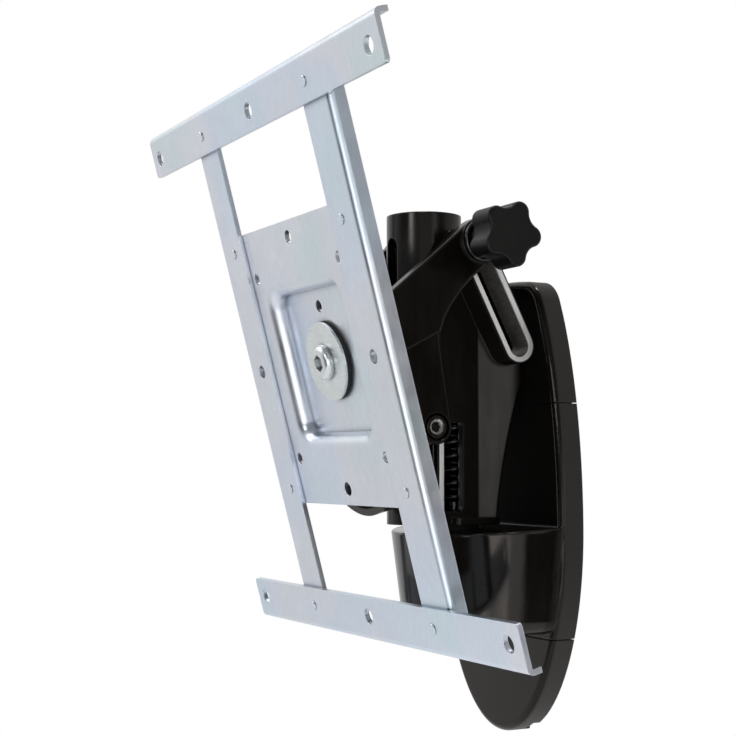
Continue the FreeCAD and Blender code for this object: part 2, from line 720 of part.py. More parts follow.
def pivot_bolt():
    face = PIVOT_SEAT + PIVOT_HEAD_HEIGHT
    shank = rod_x(BOLT_R, -CHEEK_OUTER - 1, PIVOT_SEAT + PIVOT_HEAD_HEIGHT / 2, *PIVOT)
    head = rod_x(PIVOT_HEAD_R, PIVOT_SEAT + SWIVEL_CLEAR, face, *PIVOT)
    head = rounded(head, PIVOT_HEAD_EDGE, [Vector(face, PIVOT_Y, PIVOT_Z + PIVOT_HEAD_R)])
    outside = Vector(face, *PIVOT)
    inward = Vector(-1, 0, 0)
    dish = Part.makeCone(PIVOT_DISH_R, PIVOT_DISH_R - PIVOT_DISH_DEPTH, PIVOT_DISH_DEPTH, outside, inward)
    socket = hexagon(PIVOT_SOCKET, outside, inward.multiply(PIVOT_SOCKET_DEPTH))
    return join([shank, head]).cut(dish).cut(socket)


def pivot_nut():
    seat = -PIVOT_SEAT - SWIVEL_CLEAR
    nut = rod_x(PIVOT_HEAD_R, seat - PIVOT_HEAD_HEIGHT, seat, *PIVOT)
    return nut.cut(rod_x(BOLT_R, seat - PIVOT_HEAD_HEIGHT, seat, *PIVOT))


# Tilt bracket
def web():
    """Upright web behind the display plate, with a rounded lower end and a lip that comes forward."""
    low_centre = WEB_LOW + WEB_HALF
    front = -WEB_BACK
    back = -WEB_BACK - WEB_THICK
    panel = sheet_box(-WEB_HALF, WEB_HALF, low_centre, WEB_TOP, back, front)
    picks = [
        Vector(side * WEB_HALF, DISPLAY_Y + WEB_BACK + WEB_THICK / 2, DISPLAY_Z + WEB_TOP) for side in SIDES
    ]
    panel = rounded(panel, WEB_CORNER, picks)
    foot = sheet_rod(WEB_HALF, 0, low_centre, back, front)
    lip = sheet_rod(WEB_HALF, 0, low_centre, front, -LIP_FRONT)
    lip = lip.cut(sheet_rod(WEB_HALF - LIP_WALL, 0, low_centre, front, -LIP_FRONT))
    lip = lip.common(sheet_box(-FAR, FAR, -FAR, LIP_TOP, -FAR, FAR))
    return leaned(join([panel, foot, lip]))


def web_point(v):
    """(y, z) of a point on the middle of the leaned web, v up from the display centre."""
    point = Vector(0, DISPLAY_Y + WEB_BACK + WEB_THICK / 2, DISPLAY_Z + v)
    point = FreeCAD.Placement(Vector(0, 0, 0), FreeCAD.Rotation(X_AXIS, TILT), CENTRE).multVec(point)
    return (point.y, point.z)


def from_clamp(dy, dz):
    """(y, z) of a point given from the clamp bolt."""
    return (CLAMP_Y + dy, CLAMP_Z + dz)


def on_clamp_boss(turn):
    """(y, z) of a point on the rim of the clamp boss, by its turn from the top."""
    angle = math.radians(turn)
    return from_clamp(CLAMP_BOSS_R * math.sin(angle), CLAMP_BOSS_R * math.cos(angle))


def from_pivot(dy, dz):
    """(y, z) of a point given from the lower cross bolt."""
    return (PIVOT_Y + dy, PIVOT_Z + dz)


def cheek():
    """Right-hand cheek and arm, in three thicknesses of one casting."""
    bend = [from_clamp(*point) for point in ARM_BEND]
    lower = [
        web_point(CHEEK_LOW_V),
        from_pivot(CHEEK_CHIN, -PIVOT_BOSS_R),
        from_pivot(PIVOT_BOSS_R, 0.0),
        from_pivot(*CHEEK_NECK),
        bend[0],
        web_point(ARM_TOP_V),
    ]
    rear = [from_clamp(*point) for point in ARM_REAR]
    upper = [web_point(ARM_TOP_V), on_clamp_boss(BOSS_TOP_TURN), on_clamp_boss(BOSS_REAR_TURN), *rear, *bend]
    upper.append(web_point(ARM_LOW_V))
    step = [web_point(ARM_TOP_V), from_clamp(*ARM_STEP), *bend, web_point(ARM_LOW_V)]
    return join([
        soft_face(plate_x(lower, CHEEK_INNER, CHEEK_OUTER), CAST_EDGE, CHEEK_OUTER),
        soft_face(plate_x(upper, ARM_INNER, ARM_OUTER), CAST_EDGE, ARM_OUTER),
        soft_face(plate_x(step, CHEEK_INNER, ARM_OUTER), CAST_EDGE, ARM_OUTER),
        soft_face(rod_x(PIVOT_BOSS_R, CHEEK_INNER, CHEEK_OUTER, *PIVOT), CAST_EDGE, CHEEK_OUTER),
        soft_face(rod_x(CLAMP_BOSS_R, ARM_INNER, CLAMP_FACE, *CLAMP), CAST_EDGE / 2, CLAMP_FACE),
    ])


def tilt_bracket():
    right = cheek()
    bracket = join([web(), right, mirrored(right)])
    front = leaned(sheet_box(-FAR, FAR, LIP_TOP, FAR, -WEB_BACK, FAR))
    bracket = bracket.cut(front)
    bracket = bracket.cut(rod_x(BOLT_R + BOLT_CLEAR, -FAR, FAR, *PIVOT))
    bracket = bracket.cut(rod_x(BOLT_R + BOLT_CLEAR, -FAR, FAR, *CLAMP))
    recess_r = PIVOT_HEAD_R + PIVOT_RECESS_CLEAR
    for side in SIDES:
        bracket = bracket.cut(rod_x(recess_r, side * PIVOT_SEAT, side * (CHEEK_OUTER + 1), *PIVOT))
    return bracket.cut(leaned(sheet_rod(HUB_BOLT_R, 0, 0, -FAR, FAR)))


# Clamp and knob
def clamp_washer(side):
    inner = side * CLAMP_FACE
    outer = side * (CLAMP_FACE + CLAMP_WASHER_THICK)
    washer = rod_x(CLAMP_WASHER_R, inner, outer, *CLAMP)
    rim = Vector(outer, CLAMP_Y, CLAMP_Z + CLAMP_WASHER_R)
    washer = rounded(washer, CLAMP_WASHER_THICK / 2, [rim])
    return washer.cut(rod_x(BOLT_R, inner, outer, *CLAMP))


def clamp_bolt():
    head_at = -CLAMP_FACE - CLAMP_WASHER_THICK
    head = rod_x(CLAMP_HEAD_R, head_at - CLAMP_HEAD_HEIGHT, head_at, *CLAMP)
    rim = Vector(head_at - CLAMP_HEAD_HEIGHT, CLAMP_Y, CLAMP_Z + CLAMP_HEAD_R)
    head = rounded(head, CLAMP_HEAD_EDGE, [rim])
    return head.fuse(rod_x(BOLT_R, head_at, KNOB_POCKET_END, *CLAMP)).removeSplitter()


def star_face(x):
    """Lobed outline of the knob, made of arcs that run into one another."""
    first = math.radians(KNOB_FIRST_LOBE)
    half = math.radians(180.0 / KNOB_LOBES)
    lobe_at = KNOB_R - KNOB_LOBE_R
    lean = lobe_at * math.cos(half)
    spread = lobe_at**2 + KNOB_VALLEY_R**2 - 2 * KNOB_VALLEY_R * lean - KNOB_LOBE_R**2
    valley_r = spread / (2 * (KNOB_LOBE_R - KNOB_VALLEY_R + lean))
    share = KNOB_LOBE_R / (KNOB_LOBE_R + valley_r)

    def polar(turn, radius):
        turn += first
        return Vector(x, CLAMP_Y + radius * math.sin(turn), CLAMP_Z + radius * math.cos(turn))

    def meeting(lobe, side):
        lobe_middle = polar(2 * half * lobe, lobe_at)
        valley_middle = polar(half * (2 * lobe + side), KNOB_VALLEY_R + valley_r)
        return lobe_middle.add(valley_middle.sub(lobe_middle).multiply(share))

    edges = []
    for lobe in range(KNOB_LOBES):
        tip = polar(2 * half * lobe, KNOB_R)
        valley = polar(half * (2 * lobe + 1), KNOB_VALLEY_R)
        edges.append(Part.Arc(meeting(lobe, -1), tip, meeting(lobe, 1)).toShape())
        edges.append(Part.Arc(meeting(lobe, 1), valley, meeting(lobe + 1, -1)).toShape())
    return Part.Face(Part.Wire(edges))


def star_knob():
    head = star_face(KNOB_BODY).extrude(Vector(KNOB_LENGTH, 0, 0))
    rims = [edge for edge in head.Edges if edge.BoundBox.XLength < KNOB_EDGE]
    head = head.makeFillet(KNOB_EDGE, rims)
    hub = rod_x(KNOB_HUB_R, KNOB_START, KNOB_BODY, *CLAMP)
    knob = head.fuse(hub).removeSplitter()
    return knob.cut(rod_x(BOLT_R + INSERT_WALL, KNOB_START, KNOB_POCKET_END, *CLAMP))


def knob_insert():
    insert = rod_x(BOLT_R + INSERT_WALL, KNOB_START, KNOB_POCKET_END, *CLAMP)
    return insert.cut(rod_x(BOLT_R + BOLT_CLEAR, KNOB_START, KNOB_POCKET_END, *CLAMP))


# Display frame
def vesa_plate():
    plate = sheet_box(-PLATE_HALF_X, PLATE_HALF_X, -PLATE_HALF_V, PLATE_HALF_V, -SHEET, 0)
    plate = soft_corners(plate, PLATE_CORNER, Vector(0, 1, 0))

    def pan(grow, depth, front):
        block = sheet_box(
            -PAN_HALF_X - grow, PAN_HALF_X + grow, -PAN_HALF_V - grow, PAN_HALF_V + grow, -depth, front
        )
        return soft_corners(block, PAN_CORNER + grow, Vector(0, 1, 0))

    outside = pan(SHEET, PAN_DEPTH + SHEET, 0)
    inside = pan(0, PAN_DEPTH, 1)
    plate = plate.fuse(outside).cut(inside).removeSplitter()
    plate = plate.makeFillet(PAN_BEND, pan_edges(plate, 0))
    plate = plate.makeFillet(PAN_BEND - SHEET, pan_edges(plate, SHEET))
    plate = plate.makeFillet(PAN_FOOT, pan_edges(plate, PAN_DEPTH + SHEET))
    holes = [(0, 0, HUB_BOLT_R + HUB_CLEAR), (0, STOP_HOLE_V, STOP_HOLE_R)]
    for a in SIDES:
        holes.append((a * VESA_100, 0, VESA_100_R))
        holes.append((0, a * VESA_100, VESA_100_R))
        for b in SIDES:
            holes.append((a * VESA_75, b * VESA_75, VESA_75_R))
            holes.append((a * RIVET_X, b * RIVET_X, RIVET_R))
    return leaned(drilled(plate, holes))


def pan_edges(plate, depth):
    """Edges that run round the pan at one depth behind the front of the plate."""
    found = []
    for edge in plate.Edges:
        bounds = edge.BoundBox
        level = bounds.YLength < TINY and abs(bounds.YMin - DISPLAY_Y - depth) < TINY
        if level and max(abs(bounds.XMin), abs(bounds.XMax)) < PAN_HALF_X + SHEET + TINY:
            found.append(edge)
    return found


def drilled(sheet, holes):
    """Sheet with round holes, each given as (x, v, radius)."""
    for x, v, radius in holes:
        sheet = sheet.cut(sheet_rod(radius, x, v, -FAR / 4, FAR / 4))
    return sheet


def bar(side):
    """Upright bar in front of the plate, with its outer flange bent back."""
    flange_back = SHEET - BAR_FLANGE
    strip = sheet_box(BAR_INNER, BAR_OUTER, -BAR_HALF_V, BAR_HALF_V, 0, SHEET)
    flange = sheet_box(BAR_OUTER - SHEET, BAR_OUTER, -BAR_HALF_V, BAR_HALF_V, flange_back, SHEET)
    angle = strip.fuse(flange).removeSplitter()
    angle = rounded(angle, BEND, [Vector(BAR_OUTER, DISPLAY_Y - SHEET, DISPLAY_Z)])
    angle = rounded(angle, BEND - SHEET, [Vector(BAR_OUTER - SHEET, DISPLAY_Y, DISPLAY_Z)])
    holes = [(VESA_100, 0, VESA_100_R)]
    for b in SIDES:
        holes.append((RIVET_X, b * RIVET_X, RIVET_R))
        holes.append((RIVET_X, b * VESA_200, RIVET_R))
    angle = drilled(angle, holes)
    return leaned(angle if side > 0 else mirrored(angle))


def crossbar(side):
    """Crossbar in front of the bars, with a lip along its outer edge bent back."""
    lip_back = 2 * SHEET - CROSS_LIP
    strip = sheet_box(-CROSS_HALF_X, CROSS_HALF_X, CROSS_LOW, CROSS_HIGH, SHEET, 2 * SHEET)
    lip = sheet_box(-CROSS_HALF_X, CROSS_HALF_X, CROSS_HIGH - SHEET, CROSS_HIGH, lip_back, 2 * SHEET)
    angle = strip.fuse(lip).removeSplitter()
    angle = rounded(angle, BEND, [Vector(0, DISPLAY_Y - 2 * SHEET, DISPLAY_Z + CROSS_HIGH)])
    angle = rounded(angle, BEND - SHEET, [Vector(0, DISPLAY_Y - SHEET, DISPLAY_Z + CROSS_HIGH - SHEET)])
    corners = [Vector(a * CROSS_HALF_X, DISPLAY_Y - 1.5 * SHEET, DISPLAY_Z + CROSS_LOW) for a in SIDES]
    angle = rounded(angle, CROSS_CORNER, corners)
    holes = [(0, VESA_200, VESA_200_R)]
    for a in SIDES:
        holes.append((a * VESA_200, VESA_200, VESA_200_R))
        holes.append((a * RIVET_X, VESA_200, RIVET_R))
    angle = drilled(angle, holes)
    if side < 0:
        angle = angle.mirror(CENTRE, Vector(0, 0, 1))
    return leaned(angle)


def rivet(x, v, front, back):
    """Rivet with a low domed head in front and a flat head behind."""
    head = sheet_rod(RIVET_HEAD_R, x, v, front, front + RIVET_HEAD_HEIGHT)
    rim = Vector(x + RIVET_HEAD_R, DISPLAY_Y - front - RIVET_HEAD_HEIGHT, DISPLAY_Z + v)
    head = rounded(head, RIVET_EDGE, [rim])
    tail = sheet_rod(RIVET_HEAD_R, x, v, back - RIVET_HEAD_HEIGHT, back)
    shank = sheet_rod(RIVET_R, x, v, back, front)
    return join([head, shank, tail])


def rivet_group(v, front, back):
    """Four rivets, one at each corner of the frame, v above and below its middle."""
    rivets = [rivet(a * RIVET_X, b * v, front, back) for a in SIDES for b in SIDES]
    return Part.makeCompound([leaned(piece) for piece in rivets])


def bar_rivets():
    return rivet_group(RIVET_X, SHEET, -SHEET)


def crossbar_rivets():
    return rivet_group(VESA_200, 2 * SHEET, 0)


# Display swivel bolt
def ring(radius, hole, w0, w1):
    """Washer about the display bolt."""
    return leaned(sheet_rod(radius, 0, 0, w0, w1).cut(sheet_rod(hole, 0, 0, w0, w1)))


def front_friction_disc():
    return ring(HUB_WASHER_R, HUB_BOLT_R, -PAN_DEPTH + SWIVEL_CLEAR, -PAN_DEPTH + DISC_THICK)


def hub_washer():
    return ring(HUB_WASHER_R, HUB_BOLT_R, -PAN_DEPTH + DISC_THICK, WASHER_TOP)


def rear_friction_disc():
    return ring(HUB_WASHER_R, HUB_BOLT_R, -WEB_BACK, -PAN_DEPTH - SHEET - SWIVEL_CLEAR)


def hub_spring_washers():
    back = -WEB_BACK - WEB_THICK
    return ring(SPRING_WASHER_R, HUB_BOLT_R, back - WASHER_THICK, back)


def hub_nut():
    start = WEB_BACK + WEB_THICK + WASHER_THICK
    nut = hexagon(HUB_NUT_WIDTH, Vector(0, DISPLAY_Y + start, DISPLAY_Z), Vector(0, HUB_NUT_HEIGHT, 0))
    return leaned(nut.cut(sheet_rod(HUB_BOLT_R, 0, 0, -start - HUB_NUT_HEIGHT, -start)))


def hub_bolt():
    top = WASHER_TOP + HUB_HEAD_HEIGHT
    end = -WEB_BACK - WEB_THICK - WASHER_THICK - HUB_NUT_HEIGHT
    head = sheet_rod(HUB_HEAD_R, 0, 0, WASHER_TOP, top)
    head = rounded(head, HUB_HEAD_EDGE, [Vector(HUB_HEAD_R, DISPLAY_Y - top, DISPLAY_Z)])
    socket_start = Vector(0, DISPLAY_Y - top, DISPLAY_Z)
    socket = hexagon(HUB_SOCKET, socket_start, Vector(0, HUB_SOCKET_DEPTH, 0))
    bolt = head.fuse(sheet_rod(HUB_BOLT_R, 0, 0, end, WASHER_TOP)).removeSplitter()
    return leaned(bolt.cut(socket))


NODES = {
    "wall_plate": wall_plate,
    "top_cover": top_cover,
    "pod_housing": pod_housing,
    "bottom_cover": bottom_cover,
    "housing_screws": housing_screws,
    "swivel_bush": swivel_bush,
    "thrust_washer": thrust_washer,
    "swivel_pin": swivel_pin,
    "swivel_washer": swivel_washer,
    "swivel_nut": swivel_nut,
    "yoke": yoke,
    "slot_liner_right": lambda: slot_liner(1),
    "slot_liner_left": lambda: slot_liner(-1),
    "guide_strip_right": lambda: guide_strip(1),
    "guide_strip_left": lambda: guide_strip(-1),
    "lift_spring": lift_spring,
    "lift_carriage": lift_carriage,
    "pivot_bolt": pivot_bolt,
    "pivot_nut": pivot_nut,
    "tilt_bracket": tilt_bracket,
    "clamp_bolt": clamp_bolt,
    "clamp_washer_right": lambda: clamp_washer(1),
    "clamp_washer_left": lambda: clamp_washer(-1),
    "star_knob": star_knob,
    "knob_insert": knob_insert,
    "vesa_plate": vesa_plate,
    "bar_right": lambda: bar(1),
    "bar_left": lambda: bar(-1),
    "crossbar_top": lambda: crossbar(1),
    "crossbar_bottom": lambda: crossbar(-1),
    "bar_rivets": bar_rivets,
    "crossbar_rivets": crossbar_rivets,
    "hub_bolt": hub_bolt,
    "hub_washer": hub_washer,
    "front_friction_disc": front_friction_disc,
    "rear_friction_disc": rear_friction_disc,
    "hub_spring_washers": hub_spring_washers,
    "hub_nut": hub_nut,
}


def main():
    os.makedirs("parts", exist_ok=True)
    for name, make in NODES.items():
        shape = make()
        shape.exportStep(f"parts/{name}.step")
        print(f"{name}: {len(shape.Solids)} solids, {shape.Volume / 1000:.2f} cm3, valid {shape.isValid()}")


main()
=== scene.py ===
import json
from functools import cached_property
from math import atan2, pi, radians

import bpy
from mathutils import Euler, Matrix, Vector


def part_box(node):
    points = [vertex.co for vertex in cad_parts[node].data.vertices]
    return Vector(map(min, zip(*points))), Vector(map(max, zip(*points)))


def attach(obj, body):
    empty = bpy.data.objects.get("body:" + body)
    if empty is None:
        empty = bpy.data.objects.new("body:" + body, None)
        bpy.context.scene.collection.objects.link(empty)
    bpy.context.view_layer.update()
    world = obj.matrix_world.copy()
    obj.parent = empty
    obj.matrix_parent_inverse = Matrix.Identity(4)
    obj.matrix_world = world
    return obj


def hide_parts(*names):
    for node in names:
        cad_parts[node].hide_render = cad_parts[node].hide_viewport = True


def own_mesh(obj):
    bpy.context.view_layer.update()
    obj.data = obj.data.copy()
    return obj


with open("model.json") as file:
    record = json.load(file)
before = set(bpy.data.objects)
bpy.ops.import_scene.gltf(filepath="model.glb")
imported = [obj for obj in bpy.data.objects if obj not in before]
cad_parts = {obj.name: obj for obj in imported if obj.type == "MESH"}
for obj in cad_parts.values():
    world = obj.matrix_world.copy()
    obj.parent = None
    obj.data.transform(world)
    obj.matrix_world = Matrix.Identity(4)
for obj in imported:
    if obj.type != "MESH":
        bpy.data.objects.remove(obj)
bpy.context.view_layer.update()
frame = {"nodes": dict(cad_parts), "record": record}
nodes = frame["nodes"]

# Sizes of the CAD model that the finishes follow, in metres
SLOT_R = 0.0045
RIM_R = 0.007
BOSS_DEPTH = 0.0125
BASE_RIM_Y = (-0.0101, -0.0093)
DISH_FLOOR_Y = (-0.0065, -0.0055)
POD_Y = (-0.015, -0.013)
# Inner and outer radii of the painted highlight ring round the pivot bolt's socket
SOCKET_HIGHLIGHT_IN = (0.0019, 0.0022)
SOCKET_HIGHLIGHT_OUT = (0.0028, 0.0032)

BASE_GLOSS = {"tone": (0.0032, 0.0029, 0.0024), "rough": 0.09, "ripple": 0.05, "specular": 0.23}
CASTING_GLOSS = {"tone": (0.0034, 0.003, 0.0026), "rough": 0.14, "ripple": 0.07, "specular": 0.26}
RIM_TONE = (0.92, 0.91, 0.9)
ZINC_TINTS = (
    (0.3, (0.61, 0.73, 0.8)),
    (0.43, (0.64, 0.71, 0.82)),
    (0.54, (0.7, 0.72, 0.78)),
    (0.68, (0.63, 0.73, 0.76)),
)

# Brightness that the object mirrors, by bearing: 0 is the room side, 90 the right, 180 the wall
LOW_BOARDS = (
    (-180, 0.7), (-110, 0.75), (-60, 0.8), (-35, 0.6), (-12, 0.05), (18, 0.03), (27, 1.0), (78, 1.0), (85, 0.04),
    (116, 0.04), (128, 0.7), (180, 0.9),
)
LEVEL_BOARDS = (
    (-180, 0.7), (-110, 0.8), (-60, 0.85), (-30, 0.6), (-8, 0.06), (26, 0.1), (40, 1.0), (102, 1.0), (110, 0.06),
    (126, 0.06), (134, 0.9), (180, 0.9),
)
HIGH_BOARDS = (
    (-180, 0.6), (-90, 0.9), (-50, 1.0), (-5, 0.3), (70, 0.2), (108, 0.2), (126, 0.6), (180, 0.6),
)
# Upward part of a direction, where one row of boards gives way to the next
LOW_TO_LEVEL = (-0.16, -0.08)
LEVEL_TO_HIGH = (0.1, 0.22)

# Name, place, target, diameter in metres, power in watts
LAMPS = (
    ("key", (-0.9, -1.3, 1.1), (0.0, -0.05, 0.0), 1.4, 8.0),
    ("flash", (0.58, -1.5, 0.45), (0.0, -0.05, 0.0), 0.36, 3.0),
    ("top", (0.05, -0.1, 1.5), (0.0, -0.05, 0.0), 0.26, 5.5),
    ("low", (1.08, -1.02, -0.36), (0.0, -0.05, 0.0), 0.95, 3.3),
    ("right", (1.6, 0.05, 0.16), (0.0, -0.05, 0.05), 0.56, 0.8),
)


def scaled(tone, share):
    return tuple(share * value for value in tone)


class Graph:
    """The nodes of one material or world."""

    def __init__(self, tree):
        self.tree = tree

    def add(self, kind, **settings):
        node = self.tree.nodes.new(kind)
        for key, value in settings.items():
            setattr(node, key, value)
        return node

    def found(self, kind):
        return next(node for node in self.tree.nodes if node.type == kind)

    def put(self, value, socket):
        """Link an output to a socket, or give the socket a plain value."""
        if isinstance(value, bpy.types.NodeSocket):
            self.tree.links.new(value, socket)
        else:
            socket.default_value = value

    def split(self, vector):
        node = self.add("ShaderNodeSeparateXYZ")
        self.put(vector, node.inputs[0])
        return node.outputs

    def ramp(self, source, stops, interpolation="LINEAR"):
        node = self.add("ShaderNodeValToRGB")
        band = node.color_ramp
        band.interpolation = interpolation
        band.elements[0].position = stops[0][0]
        band.elements[-1].position = stops[-1][0]
        for at, _ in stops[1:-1]:
            band.elements.new(at)
        for element, (_, colour) in zip(band.elements, stops):
            element.color = (*colour, 1.0)
        self.put(source, node.inputs["Fac"])
        return node.outputs["Color"]

    def spread(self, source, low_value, high_value, start=0.3, end=0.7, interpolation="LINEAR"):
        node = self.add("ShaderNodeMapRange", interpolation_type=interpolation)
        node.inputs["From Min"].default_value = start
        node.inputs["From Max"].default_value = end
        self.put(low_value, node.inputs["To Min"])
        self.put(high_value, node.inputs["To Max"])
        self.put(source, node.inputs["Value"])
        return node.outputs["Result"]

    def combined(self, operation, first, second=0.0):
        node = self.add("ShaderNodeMath", operation=operation)
        self.put(first, node.inputs[0])
        self.put(second, node.inputs[1])
        return node.outputs[0]

    def mixed(self, factor, first, second):
        node = self.add("ShaderNodeMix", data_type="RGBA")
        self.put(factor, node.inputs["Factor"])
        for value, socket in ((first, node.inputs[6]), (second, node.inputs[7])):
            self.put((*value, 1.0) if isinstance(value, tuple) else value, socket)
        return node.outputs[2]

    def backdrop(self, lighting, mirrored, seen):
        """Strength for rays that light the object, that it mirrors, and that show the background itself."""
        rays = self.add("ShaderNodeLightPath").outputs
        strength = self.spread(rays["Is Glossy Ray"], lighting, mirrored, 0.0, 1.0)
        strength = self.spread(rays["Is Transmission Ray"], strength, seen, 0.0, 1.0)
        return self.spread(rays["Is Camera Ray"], strength, seen, 0.0, 1.0)


class Shader(Graph):
    """A material under construction: one Principled surface and the nodes that feed it."""

    def __init__(self, name):
        self.material = bpy.data.materials.new(name)
        self.material.use_nodes = True
        super().__init__(self.material.node_tree)
        self.surface = self.found("BSDF_PRINCIPLED")

    @cached_property
    def place(self):
        return self.add("ShaderNodeTexCoord").outputs["Object"]

    def set(self, **values):
        for key, value in values.items():
            self.put(value, self.surface.inputs[key.replace("_", " ")])

    def stretched(self, scale, turn=(0.0, 0.0, 0.0)):
        mapping = self.add("ShaderNodeMapping")
        mapping.inputs["Rotation"].default_value = turn
        mapping.inputs["Scale"].default_value = scale
        self.put(self.place, mapping.inputs["Vector"])
        return mapping.outputs["Vector"]

    def noise(self, scale, detail=3.0, vector=None):
        node = self.add("ShaderNodeTexNoise")
        node.inputs["Scale"].default_value = scale
        node.inputs["Detail"].default_value = detail
        self.put(vector or self.place, node.inputs["Vector"])
        return node.outputs["Fac"]

    def edges(self, radius):
        """A normal that rounds the sharp edges a little."""
        node = self.add("ShaderNodeBevel", samples=4)
        node.inputs["Radius"].default_value = radius
        return node.outputs["Normal"]

    def bump(self, height, strength, distance, under=None):
        node = self.add("ShaderNodeBump")
        node.inputs["Strength"].default_value = strength
        node.inputs["Distance"].default_value = distance
        self.put(height, node.inputs["Height"])
        if under is not None:
            self.put(under, node.inputs["Normal"])
        return node.outputs["Normal"]

    def apart(self, start, end):
        """How far a point lies from the line between two points, seen along X."""
        run = end - start
        upright = Euler((atan2(run.y, run.z), 0.0, 0.0))
        mapping = self.add("ShaderNodeMapping")
        mapping.inputs["Rotation"].default_value = upright
        mapping.inputs["Location"].default_value = -(upright.to_matrix() @ start)
        self.put(self.place, mapping.inputs["Vector"])
        local = self.split(mapping.outputs["Vector"])
        across, along = local["Y"], local["Z"]
        beyond = self.combined("SUBTRACT", along, self.spread(along, 0.0, run.length, 0.0, run.length))
        across_squared = self.combined("MULTIPLY", across, across)
        beyond_squared = self.combined("MULTIPLY", beyond, beyond)
        return self.combined("SQRT", self.combined("ADD", across_squared, beyond_squared))

    def painted_crease_shade(self, colour, dark, reach):
        """The colour, with painted shade: a darker tone in holes, sockets and inside corners, from ambient
        occlusion.
        """
        node = self.add("ShaderNodeAmbientOcclusion", samples=6)
        node.inputs["Distance"].default_value = reach
        return self.mixed(self.spread(node.outputs["AO"], 1.0, 0.0, 0.3, 0.8), colour, dark)

    def worn_edges(self, colour, bare, start, end):
        """The colour, with a lighter tone where the surface turns sharply outwards."""
        point = self.add("ShaderNodeNewGeometry").outputs["Pointiness"]
        return self.mixed(self.spread(point, 0.0, 1.0, start, end), colour, bare)


def plated(name, tints, rough, grain):
    """Zinc-plated sheet: cloudy pale tints, fine rolling lines and a soft gloss."""
    shader = Shader(name)
    lines = shader.noise(1.0, 2.0, shader.stretched((900.0, 900.0, 30.0)))
    specks = shader.noise(1400.0, 2.0)
    tint = shader.ramp(shader.noise(15.0), tints)
    lined = shader.mixed(shader.spread(lines, 0.0, 0.22), tint, (0.48, 0.5, 0.55))
    speckled = shader.mixed(shader.spread(specks, 0.0, 0.12), lined, (0.82, 0.84, 0.88))
    fine = shader.bump(lines, grain, 0.00004, shader.edges(0.0005))
    shader.set(
        Metallic=1.0,
        # Base colour carries painted shade: darker in holes and inside corners, by ambient occlusion
        Base_Color=shader.painted_crease_shade(speckled, (0.2, 0.22, 0.24), 0.004),
        Roughness=shader.spread(shader.noise(70.0, 4.0), rough - 0.06, rough + 0.08),
        Normal=shader.bump(specks, grain, 0.00003, fine),
    )
    return shader


def turned(name, tone, rough, metallic=1.0):
    """Turned or drawn metal with faint tool lines."""
    shader = Shader(name)
    lines = shader.noise(1.0, 2.0, shader.stretched((250.0, 1800.0, 1800.0)))
    stained = shader.mixed(shader.spread(shader.noise(160.0, 4.0), 0.0, 0.4), tone, scaled(tone, 0.8))
    # The tint carries painted shade: darker in holes, sockets and inside corners, by ambient occlusion
    shader.tint = shader.painted_crease_shade(stained, scaled(tone, 0.15), 0.003)
    shader.set(
        Metallic=metallic,
        Base_Color=shader.tint,
        Roughness=shader.spread(lines, rough - 0.07, rough + 0.1),
        Normal=shader.bump(lines, 0.05, 0.00003, shader.edges(0.0003)),
    )
    return shader


def glossy_black(name, tone, rough, ripple, specular):
    """Polished black surface with slight ripples, faint wiping marks and a little dust."""
    shader = Shader(name)
    wipes = shader.noise(1.0, 4.0, shader.stretched((60.0, 220.0, 45.0), (0.3, 0.5, 0.2)))
    dust = shader.spread(shader.noise(2200.0, 2.0), 0.0, 0.02, 0.62, 0.8)
    shade = shader.mixed(shader.spread(shader.noise(18.0), 0.0, 1.0), tone, scaled(tone, 1.9))
    soft = shader.bump(shader.noise(22.0, 1.0), ripple, 0.0006, shader.edges(0.0009))
    shader.tint = shader.mixed(dust, shade, (0.5, 0.48, 0.45))
    shader.gloss = shader.spread(wipes, rough, rough + 0.09)
    shader.set(
        Base_Color=shader.tint,
        Roughness=shader.gloss,
        Specular_IOR_Level=specular,
        Specular_Tint=(1.0, 0.92, 0.87, 1.0),
        Normal=shader.bump(shader.noise(900.0, 1.0), 0.02, 0.00004, soft),
    )
    return shader


def base_black(name):
    """Black of the wall base: glossy in front, satin round its side wall, dull on the floor of its dish."""
    shader = glossy_black(name, **BASE_GLOSS)
    depth = shader.split(shader.place)["Y"]
    facing = shader.split(shader.add("ShaderNodeNewGeometry").outputs["Normal"])["Y"]
    sideways = shader.spread(shader.combined("ABSOLUTE", facing), 1.0, 0.0, 0.2, 0.45)
    side_wall = shader.combined("MULTIPLY", sideways, shader.spread(depth, 0.0, 1.0, *BASE_RIM_Y))
    forwards = shader.spread(facing, 1.0, 0.0, -0.95, -0.8)
    dish_floor = shader.combined("MULTIPLY", forwards, shader.spread(depth, 0.0, 1.0, *DISH_FLOOR_Y))
    pod = shader.spread(depth, 1.0, 0.0, *POD_Y)
    satin = shader.combined("MULTIPLY", side_wall, 0.5)
    dull = shader.combined("MULTIPLY", dish_floor, 0.65)
    level = shader.combined("ADD", shader.combined("MULTIPLY", side_wall, 0.3), BASE_GLOSS["specular"])
    level = shader.combined("ADD", level, shader.combined("MULTIPLY", pod, 0.2))
    level = shader.combined("SUBTRACT", level, shader.combined("MULTIPLY", dish_floor, 0.2))
    shader.set(
        Roughness=shader.combined("MAXIMUM", shader.gloss, shader.combined("MAXIMUM", satin, dull)),
        Specular_IOR_Level=level,
    )
    return shader


def slot_line():
    """Ends of the middle line of the inclined slots, and how far out their bosses reach."""
    near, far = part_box("slot_liner_right")
    upper = Vector((0.0, near[1] + RIM_R, far[2] - RIM_R))
    lower = Vector((0.0, far[1] - RIM_R, near[2] + RIM_R))
    return upper, lower, far[0]


